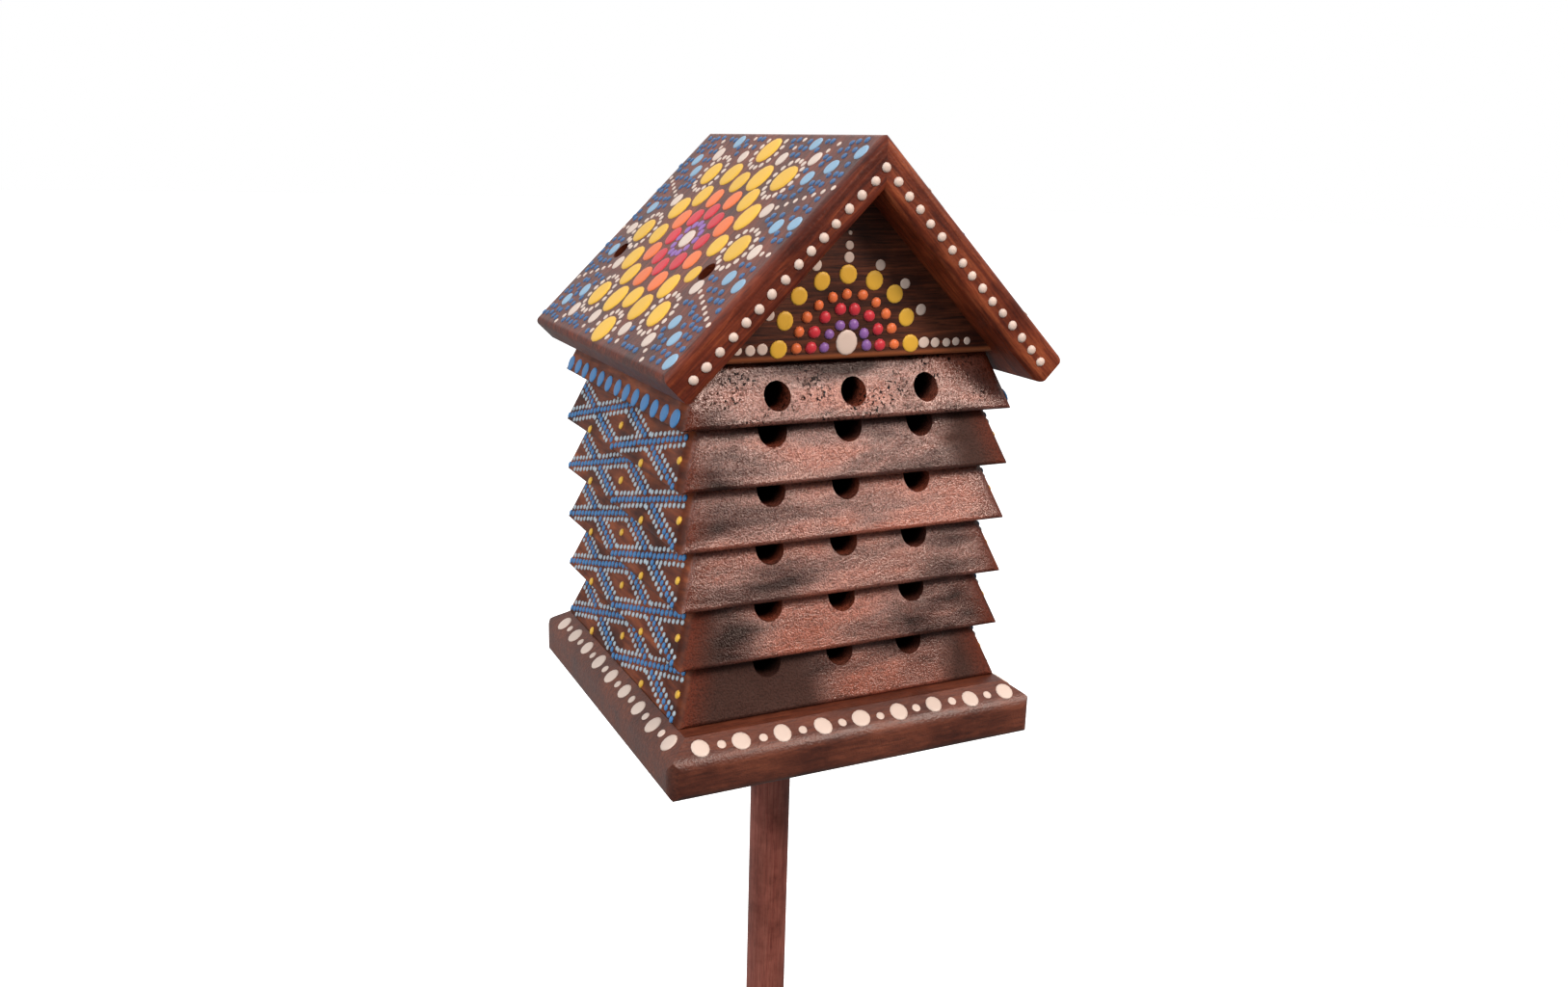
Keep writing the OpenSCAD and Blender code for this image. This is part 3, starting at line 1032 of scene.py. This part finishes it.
@dataclass
class RakeBeads:
    """A row of cream beads along the front edge of each roof board, meeting at the ridge."""

    pitch: float = 6.0
    width: float = 3.4
    count: int = 15
    inward: float = 1.2

    def dots(self, thickness: float, pitch_degrees: float) -> Dots:
        """Works out the beads of both boards.

        Args:
            thickness: the roof board's thickness.
            pitch_degrees: the roof's slope.

        Returns:
            The beads, on a face whose origin is the ridge: just inside each board's middle line, and one
            at the top.
        """
        slope = math.radians(pitch_degrees)
        down = self.pitch * np.arange(self.count + 1)
        drop = (thickness / 2 + self.inward) / math.cos(slope)
        right = np.stack((down * math.cos(slope), -drop - down * math.sin(slope)), axis=1)
        places = np.concatenate((right, right[1:] * (-1, 1)))
        return Dots(Paint.CREAM, places, np.full(len(places), self.width))


@dataclass
class BevelBeads:
    """Large cream dots with small ones between them along the base's bevel."""

    large: int = 9
    pitch: float = 14.9
    large_width: float = 6.6
    small_width: float = 3.1
    shift: float = 1.0

    def dots(self) -> Dots:
        """Works out one side's row.

        Returns:
            The dots, on a face whose origin is the middle of the bevel.
        """
        count = 2 * self.large - 1
        widths = np.where(np.arange(count) % 2, self.small_width, self.large_width)
        return Dots(Paint.CREAM, row(count, self.pitch / 2, self.shift), widths)


@dataclass(frozen=True)
class TraySide:
    """A tray's left or right side: its height along its slope, and half its length at its top and foot."""

    slant: float
    half_top: float
    half_foot: float


@dataclass
class SideLattice:
    """A net of lozenges on a tray's side: rows of blue between rows of pale dots, yellow in each lozenge.

    The lines rise and fall by the height of a tray that shows in each lozenge's length, so the net seems to
    go on over the trays. The pale rows stop where another blue row crosses, and so close each lozenge.
    """

    lozenge: float = 56.9
    lozenge_height: float = 15.5
    centre_forward: float = -2.5
    centre_down: float = 11.5
    row_gap: float = 2.35
    crossing_room: float = 1.7
    overlap: float = 1.0
    dot_pitch: float = 3.3
    blue_width: float = 2.7
    pale_width: float = 2.2
    yellow_width: float = 3.4
    edge_yellow_up: float = 2.3
    hearts: int = 5
    top_margin: float = 2.6
    low_margin: float = 1.5
    end_margin: float = 2.6

    def dots(self, side: TraySide) -> list[Dots]:
        """Works out one tray side's dots.

        Args:
            side: the tray's side.

        Returns:
            The dots, on a face whose origin is the middle of its top edge.
        """
        rows = ((Paint.BLUE, 0.0, self.blue_width), (Paint.PALE_BLUE, self.row_gap, self.pale_width),
                (Paint.PALE_BLUE, -self.row_gap, self.pale_width))
        cut = math.atan2(self.lozenge_height, self.lozenge)
        reach = np.arange(-2 * self.lozenge, 2 * self.lozenge, self.dot_pitch)[:, None]
        crossings = row(2, self.lozenge, self.centre_forward, -self.centre_down)
        painted: list[Dots] = []
        for rising in (1, -1):
            along = np.array((math.cos(cut), rising * math.sin(cut)))
            beside = np.array((-along[1], along[0]))
            other_beside = beside * (-1, 1)
            family: list[Dots] = []
            for start in crossings:
                for paint, offset, width in rows:
                    places = start + reach * along + offset * beside
                    keep = self.on_face(places, side)
                    if paint is Paint.PALE_BLUE:
                        from_others = np.abs((places[:, None] - crossings) @ other_beside)
                        keep &= from_others.min(axis=1) > self.crossing_room
                    dots = Dots(paint, places, np.full(len(places), width)).kept(keep)
                    family.append(dots.clear_of(painted, -self.overlap))
            painted += family
        middles = row(self.hearts, self.lozenge, self.centre_forward, -self.centre_down)
        feet = row(self.hearts, self.lozenge, self.centre_forward + self.lozenge / 2,
                   self.edge_yellow_up - side.slant)
        yellow = np.concatenate((middles, feet))
        hearts = Dots(Paint.YELLOW, yellow, np.full(len(yellow), self.yellow_width))
        return painted + [hearts.kept(self.on_face(yellow, side))]

    def on_face(self, places: Array, side: TraySide) -> Array:
        """Tells which places lie on the face, inside its margins.

        Args:
            places: places on the face.
            side: the tray's side.

        Returns:
            A mask of those that do.
        """
        right, down = places[:, 0], -places[:, 1]
        half = side.half_top + (side.half_foot - side.half_top) * down / side.slant
        level = (down > self.top_margin) & (down < side.slant - self.low_margin)
        return level & (np.abs(right) < half - self.end_margin)


@dataclass
class EaveRow:
    """A row of large blue dots under the eaves, low on the top tray's side."""

    count: int = 13
    pitch: float = 9.4
    width: float = 6.2
    up: float = 3.6

    def dots(self, side: TraySide) -> Dots:
        """Works out the row, on a face whose origin is the middle of its top edge."""
        places = row(self.count, self.pitch, up=self.up - side.slant)
        return Dots(Paint.BLUE, places, np.full(self.count, self.width))


@dataclass
class Woodwork:
    """The frame's wooden pieces and the finish of each."""

    # Height above the gable's foot of its painted highlight, in millimetres.
    foot_highlight_height: float = 2.4
    tray_looks: tuple[TrayLook, ...] = (
        TrayLook(shift=755, char=0.012, sheen=1.0, bare_middle=-15, bare_half=75, specks=1.0),
        TrayLook(shift=897, char=0.003, sheen=0.92, bare_middle=-29, bare_half=61),
        TrayLook(shift=123, char=-0.04, sheen=0.82, bare_middle=-18, bare_half=73),
        TrayLook(shift=826, char=0.0, sheen=0.76, bare_middle=-20, bare_half=70),
        TrayLook(shift=613, char=-0.02, sheen=0.66, bare_middle=3, bare_half=42),
        TrayLook(shift=318, char=-0.01, sheen=0.48, bare_middle=17, bare_half=20),
    )

    def finishes(self) -> dict[str, Material]:
        """Builds the finish of every node.

        Returns:
            The material of each node, by its name.
        """
        pole = VarnishedHardwood("stained_hardwood_dowel", Grain.ALONG_Z, "#8C4A40", "#9C5A4D", "#A8685A",
                                 streak=1.0, streak_stretch=24.0, roughness=0.5, pebble_height=0.03)
        base = VarnishedHardwood("varnished_hardwood_base", Grain.ALONG_X, "#552718", "#6C3623", "#7E432C",
                                 streak_stretch=9.0, gloss=0.6, pebble_height=0.16)
        # The gable's foot gets a painted highlight, for its rounded lower edge catching the light.
        gable = VarnishedHardwood("varnished_hardwood_gable", Grain.ALONG_X, "#30160D", "#562A18", "#7A4026",
                                  streak=1.1, streak_stretch=22.0, pore_share=0.8, roughness=0.5,
                                  pebble_height=0.03,
                                  foot_highlight_below=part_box("gable_front")[0].z / MM + self.foot_highlight_height)
        found = {"pole": pole.material(), "base_board": base.material()}
        found["gable_front"] = found["gable_back"] = gable.material()
        for side, grain, tones in (("left", Grain.DOWN_LEFT_SLOPE, ("#471709", "#6C2914", "#964726")),
                                   ("right", Grain.DOWN_RIGHT_SLOPE, ("#571F0F", "#82391F", "#AC5C36"))):
            roof = VarnishedHardwood(f"varnished_hardwood_roof_{side}", grain, *tones,
                                     streak_stretch=12.0, roughness=0.45, haze=0.26)
            found[f"roof_{side}"] = roof.material()
        for number, look in enumerate(self.tray_looks, 1):
            low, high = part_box(f"tray_{number}")
            tray = ScorchedHardwood(f"scorched_hardwood_tray_{number}", look,
                                    centre_y=(low.y + high.y) / 2 / MM, half_width=high.x / MM,
                                    half_depth=(high.y - low.y) / 2 / MM)
            found[f"tray_{number}"] = tray.material()
        return found

    def dress(self) -> None:
        """Gives every node its finish, in the mesh's one material slot."""
        for name, material in self.finishes().items():
            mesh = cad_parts[name].data
            mesh.materials.clear()
            mesh.materials.append(material)
            log.info("%s: %s", name, material.name)


@dataclass
class RoofScrews:
    """Four round-headed screws with cross recesses, sunk in the roof's counterbores."""

    head_width: float = 7.0
    head_height: float = 2.0
    rim_share: float = 0.35
    seat_down: float = 6.5
    recess_depth: float = 1.3
    recess_width: float = 1.1
    recess_reach: float = 2.2
    recess_slope: float = 0.3
    recess_end_slope: float = 0.5
    crown_radius: float = 0.02
    rings: int = 22
    sides: int = 64

    def head(self, face: PaintedFace, place: Place) -> Array:
        """Works out one screw head as a surface over a disc.

        At radius r and turn t the head stands at the height of a dome, its rim's height plus the rest times
        the root of 1 minus the square of r over the rim, less the recess: its depth where the point lies in
        either arm of the cross, with sloping walls. The rim goes straight down to the seat.

        Args:
            face: the roof's face.
            place: the hole's place on it.

        Returns:
            The points, ring by ring, from a small disc at the crown to the seat.
        """
        rim = self.head_width / 2
        radius = np.append(np.linspace(self.crown_radius, rim, self.rings), rim)[:, None]
        turn = 2 * np.pi * np.arange(self.sides) / self.sides
        right, up = radius * np.cos(turn), radius * np.sin(turn)
        bulge = np.sqrt(np.clip(1 - (radius / rim) ** 2, 0, 1))
        dome = self.head_height * (self.rim_share + (1 - self.rim_share) * bulge)
        arm = np.minimum(np.abs(right), np.abs(up))
        inside = np.clip((self.recess_width / 2 - arm) / self.recess_slope + 0.5, 0, 1)
        inside = inside * np.clip((self.recess_reach - radius) / self.recess_end_slope, 0, 1)
        height = dome - self.recess_depth * inside
        height[-1] = 0.0
        places = np.stack((right + place[0], up + place[1]), axis=-1).reshape(-1, 2)
        return face.points(places) + MM * (height.reshape(-1, 1) - self.seat_down) * face.normal

    def build(self, name: str, face: PaintedFace, holes: Sequence[Place]) -> None:
        """Builds the screws of one roof board as one piece.

        Args:
            name: the piece's name.
            face: the board's face.
            holes: the places of its screw holes.
        """
        heads = np.stack([self.head(face, hole) for hole in holes])
        size = heads.shape[1]
        first = size * np.arange(len(holes))[:, None]
        turns = np.arange(self.sides)
        walls = (outward(bands(self.rings + 1, self.sides)) + first[..., None]).reshape(-1, 4)
        crowns = first + turns
        soles = first + size - 1 - turns
        faces = walls.tolist() + crowns.tolist() + soles.tolist()
        piece = add_piece(name, heads, faces, BlackedSteel().material())
        piece.data.shade_smooth()
        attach(piece, BODY)
        log.info("%s: %d screws", name, len(holes))


@dataclass
class PaintedDecoration:
    """All the painted dots of the house, placed on the faces that the frame gives."""

    roof_pitch: float = 45.0
    roof_thickness: float = 12.5
    slope_length: float = 104.0
    screw_down: float = 64.0
    screw_places: Place = (-36.3, 49.1)
    base_bevel: float = 8.0
    base_bevel_height: float = 5.5
    tray_flare: float = 7.6
    trays: int = 6
    painter: Painter = field(default_factory=Painter)
    roof: RoofOrnament = field(default_factory=RoofOrnament)
    gable: GableOrnament = field(default_factory=GableOrnament)
    rake: RakeBeads = field(default_factory=RakeBeads)
    bevel: BevelBeads = field(default_factory=BevelBeads)
    lattice: SideLattice = field(default_factory=SideLattice)
    eave_row: EaveRow = field(default_factory=EaveRow)
    screws: RoofScrews = field(default_factory=RoofScrews)

    def build(self) -> None:
        """Paints every face and sinks the roof screws."""
        self.roof_slopes()
        self.gables_and_rakes()
        self.base_rows()
        self.tray_sides()
        log.info("painted dots in all: %d", self.painter.laid)

    def slope_face(self, side: Side, near: Sequence[float]) -> PaintedFace:
        """Finds a roof board's upper face.

        Args:
            side: the side on which the board lies.
            near: a point in metres, which is moved square onto the face to be its origin.

        Returns:
            The face.
        """
        slope = math.radians(self.roof_pitch)
        normal = (side.value * math.sin(slope), 0, math.cos(slope))
        return PaintedFace.on_node(f"roof_{side.name.lower()}", normal, (0, side.value, 0), near)

    def ridge(self) -> Vector:
        """Finds the sharp ridge line, where the slopes' planes meet.

        Returns:
            The middle of the line, in metres.
        """
        low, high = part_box("roof_left")
        face = self.slope_face(Side.LEFT, (0, 0, 0))
        height = float(face.origin @ face.normal) / math.cos(math.radians(self.roof_pitch))
        return Vector((0, (low.y + high.y) / 2, height))

    def roof_slopes(self) -> None:
        """Paints both slopes, the right one as the left one's mirror image, and builds their screws."""
        ridge = self.ridge()
        low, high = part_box("roof_left")
        holes = tuple((ridge.y / MM - y, -self.screw_down) for y in self.screw_places)
        board = RoofBoard((high.y - low.y) / MM, self.slope_length, holes)
        left_dots = self.roof.dots(board)
        for side in Side:
            name = f"roof_{side.name.lower()}"
            face = self.slope_face(side, ridge)
            dots = [group.for_side(side) for group in left_dots]
            self.painter.lay_all(name, face, dots, Dab.DISC, {Paint.DEEP_BLUE: Dab.SPECK})
            self.screws.build(f"{name}_screws", face, [(right * -side.value, up) for right, up in holes])

    def gables_and_rakes(self) -> None:
        """Paints the gables' half rosettes and the beads on the roof's ends, front and back."""
        ridge = self.ridge()
        beads = self.rake.dots(self.roof_thickness, self.roof_pitch)
        raised = {paint: Dab.BEAD for paint in (Paint.PURPLE, Paint.RED, Paint.ORANGE)}
        for end in End:
            name = end.name.lower()
            normal, across = (0, end.value, 0), (-end.value, 0, 0)
            low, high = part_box(f"gable_{name}")
            face = PaintedFace.on_node(f"gable_{name}", normal, across, (0, 0, low.z))
            self.painter.lay_all(f"gable_{name}", face, self.gable.dots(high.x / MM), Dab.DISC, raised)
            rake_face = PaintedFace.on_node("roof_left", normal, across, ridge)
            self.painter.lay(f"rake_{name}_cream_beads", Paint.CREAM, [(rake_face, beads)], Dab.BEAD)

    def base_rows(self) -> None:
        """Paints the row of dots on each side of the base's bevel."""
        low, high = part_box("base_board")
        middle = np.array((0, 0, high.z - self.base_bevel_height * MM / 2))
        inset = self.base_bevel * MM / 2
        dots = self.bevel.dots()
        for name, out in (("front", (0, -1)), ("left", (-1, 0)), ("back", (0, 1)), ("right", (1, 0))):
            reach = abs(low.y) if out[0] == 0 else high.x
            normal = (out[0] * self.base_bevel_height, out[1] * self.base_bevel_height, self.base_bevel)
            near = middle + (reach - inset) * np.array((out[0], out[1], 0))
            face = PaintedFace.on_node("base_board", normal, (-out[1], out[0], 0), near)
            self.painter.lay(f"base_{name}_cream_dots", Paint.CREAM, [(face, dots)], Dab.DISC)

    def tray_sides(self) -> None:
        """Paints the lozenge net over the trays' sides, and the blue row on the top tray's."""
        jobs: dict[tuple[Side, Paint], list[tuple[PaintedFace, Dots]]] = {}
        for number in range(1, self.trays + 1):
            node = f"tray_{number}"
            low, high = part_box(node)
            height = (high.z - low.z) / MM
            half_foot = (high.y - low.y) / 2 / MM
            tray_side = TraySide(math.hypot(height, self.tray_flare), half_foot - self.tray_flare, half_foot)
            for side in Side:
                normal = (side.value * height, 0, self.tray_flare)
                near = (side.value * (high.x - self.tray_flare * MM), (low.y + high.y) / 2, high.z)
                face = PaintedFace.on_node(node, normal, (0, side.value, 0), near).slid_to_height(high.z)
                if number == 1:
                    self.painter.lay(f"tray_1_{side.name.lower()}_blue_row", Paint.BLUE,
                                     [(face, self.eave_row.dots(tray_side))], Dab.DISC)
                    continue
                for dots in self.lattice.dots(tray_side):
                    jobs.setdefault((side, dots.paint), []).append((face, dots.for_side(side)))
        for (side, paint), faces in jobs.items():
            name = f"trays_{side.name.lower()}_{paint.name.lower()}_dots"
            self.painter.lay(name, paint, faces, Dab.SPECK)


@dataclass(frozen=True)
class Softbox:
    """A rectangular studio lamp that looks at the house."""

    name: str
    toward: tuple[float, float, float]
    distance_m: float
    width_m: float
    height_m: float
    power_w: float
    tint: str = WHITE

    def build(self, target: Vector) -> None:
        """Hangs the lamp.

        Args:
            target: the point it looks at.
        """
        lamp = bpy.data.lights.new(self.name, "AREA")
        lamp.shape = "RECTANGLE"
        lamp.size, lamp.size_y = self.width_m, self.height_m
        lamp.energy = self.power_w
        lamp.color = linear(self.tint)[:3]
        holder = bpy.data.objects.new(self.name, lamp)
        direction = Vector(self.toward).normalized()
        holder.location = target + direction * self.distance_m
        holder.rotation_euler = direction.to_track_quat("Z", "Y").to_euler()
        bpy.context.scene.collection.objects.link(holder)


@dataclass
class Studio:
    """A pale floor, soft light and the camera."""

    floor_radii_m: tuple[float, ...] = (0.001, 0.5, 2.0, 12.0)
    floor_sides: int = 96
    sky: str = WHITE
    sky_seen: float = 1.0
    sky_toward: tuple[float, float, float] = (-0.2, 0.6, 0.77)
    sky_span: tuple[float, float] = (-0.4, 0.7)
    sky_dim: float = 0.18
    sky_bright: float = 0.62
    aim_height_m: float = 0.40
    lamps: tuple[Softbox, ...] = (
        Softbox("front_right_softbox", (0.47, -0.70, 0.54), 1.15, 0.34, 0.30, 9.1, "#FFEDE2"),
        Softbox("left_softbox", (-0.80, -0.42, 0.42), 1.2, 0.6, 0.6, 7.0),
        Softbox("top_softbox", (0.05, 0.10, 1.0), 1.3, 0.9, 0.9, 5.5),
    )
    camera_m: tuple[float, float, float] = (-0.20743, -0.42853, 0.50660)
    pitch: float = -0.2372214
    roll: float = -0.0284539
    yaw: float = -0.4611096
    focal_px: float = 1348.965
    centre_px: tuple[float, float] = (821.44, 480.25)
    sensor_mm: float = 36.0
    nearest_m: float = 0.01
    furthest_m: float = 100.0

    def build(self) -> None:
        """Builds the floor, the light and the camera, and shows colours as they are lit."""
        bpy.context.scene.view_settings.view_transform = "Standard"
        self.floor()
        self.light()
        self.camera()

    def floor(self) -> None:
        """Lays a round floor, a grid of radius by turn, that shows white but throws no light on the house."""
        radius = np.array(self.floor_radii_m)[:, None]
        sides = self.floor_sides
        turn = 2 * np.pi * np.arange(sides) / sides
        points = np.stack((radius * np.cos(turn), radius * np.sin(turn), 0 * radius * turn), axis=-1)
        faces = outward(bands(len(radius), sides)).tolist() + [list(range(sides))]
        floor = add_piece("table_floor", points, faces, OpalTable().material())
        floor.visible_diffuse = False
        floor.visible_glossy = False

    def light(self) -> None:
        """Sets a surround that looks white and lights from above and behind, and hangs the lamps."""
        world = bpy.data.worlds.new("white_studio")
        world.use_nodes = True
        tree = world.node_tree
        direction = add_node(tree, "TexCoord").node.outputs["Generated"]
        toward = add_node(tree, "VectorMath", {0: direction, 1: self.sky_toward}, operation="DOT_PRODUCT")
        glow = add_node(tree, "MapRange",
                        {"Value": toward, "From Min": self.sky_span[0], "From Max": self.sky_span[1],
                         "To Min": self.sky_dim, "To Max": self.sky_bright})
        seen = add_node(tree, "LightPath").node.outputs["Is Camera Ray"]
        strength = add_node(tree, "Mix", {"Factor": seen, "A": glow, "B": self.sky_seen})
        fill(tree.nodes["Background"], {"Color": linear(self.sky), "Strength": strength})
        bpy.context.scene.world = world
        for lamp in self.lamps:
            lamp.build(Vector((0, 0, self.aim_height_m)))

    def camera(self) -> None:
        """Sets the camera where the photograph was taken from, turned by yaw, pitch and roll."""
        data = bpy.data.cameras.new("photo_camera")
        data.sensor_fit = "HORIZONTAL"
        data.sensor_width = self.sensor_mm
        data.lens = self.focal_px / PHOTO_WIDTH * self.sensor_mm
        data.shift_x = (PHOTO_WIDTH / 2 - self.centre_px[0]) / PHOTO_WIDTH
        data.shift_y = (self.centre_px[1] - PHOTO_HEIGHT / 2) / PHOTO_WIDTH
        data.clip_start = self.nearest_m
        data.clip_end = self.furthest_m
        turned = (Matrix.Rotation(self.yaw, 3, "Z") @ Matrix.Rotation(self.pitch, 3, "X")
                  @ Matrix.Rotation(self.roll, 3, "Y"))
        right, ahead, up = (turned.col[i] for i in range(3))
        facing = Matrix((right, up, -ahead)).transposed().to_4x4()
        camera = bpy.data.objects.new("photo_camera", data)
        camera.matrix_world = Matrix.Translation(self.camera_m) @ facing
        bpy.context.scene.collection.objects.link(camera)
        bpy.context.scene.camera = camera


def main() -> None:
    """Builds the studio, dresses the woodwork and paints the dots."""
    logging.basicConfig(level=logging.INFO, format="%(name)s: %(message)s")
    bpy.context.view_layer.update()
    Studio().build()
    Woodwork().dress()
    PaintedDecoration().build()


if __name__ == "__main__":
    main()
